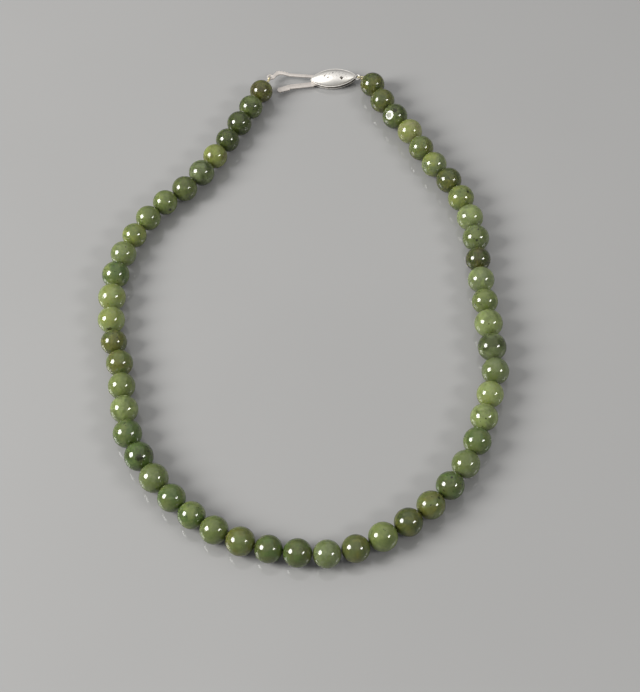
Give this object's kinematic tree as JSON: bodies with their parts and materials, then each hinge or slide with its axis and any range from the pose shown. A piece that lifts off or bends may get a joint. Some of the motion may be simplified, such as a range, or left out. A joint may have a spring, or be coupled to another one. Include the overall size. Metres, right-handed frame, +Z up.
{
  "type": "jade bead necklace",
  "caption": "Single strand of round green jade beads on a thread, closed by a pointed-oval silver clasp whose hook slides into its mouth, lying in a loose loop.",
  "frame": {"origin": "middle of the bounding box in plan, on the surface that the necklace rests on", "axes": "+X to the right, +Y away from the viewer towards the clasp, +Z up"},
  "size_m": [0.1212, 0.1856, 0.0085],
  "materials": {
    "jade": "polished translucent green stone, each bead its own shade, mottled with paler clouds and dark specks",
    "silver": "softly worn silver, satin on the dome with bright rims",
    "gilt_wire": "fine coiled gilt wire",
    "silk": "twisted green silk thread"
  },
  "bodies": {
    "root": {"beads_right": "jade", "beads_left": "jade", "thread": "silk", "gimp_right": "gilt_wire", "gimp_left": "gilt_wire", "clasp_body": "silver", "clasp_hook": "silver"}
  },
  "joints": []
}
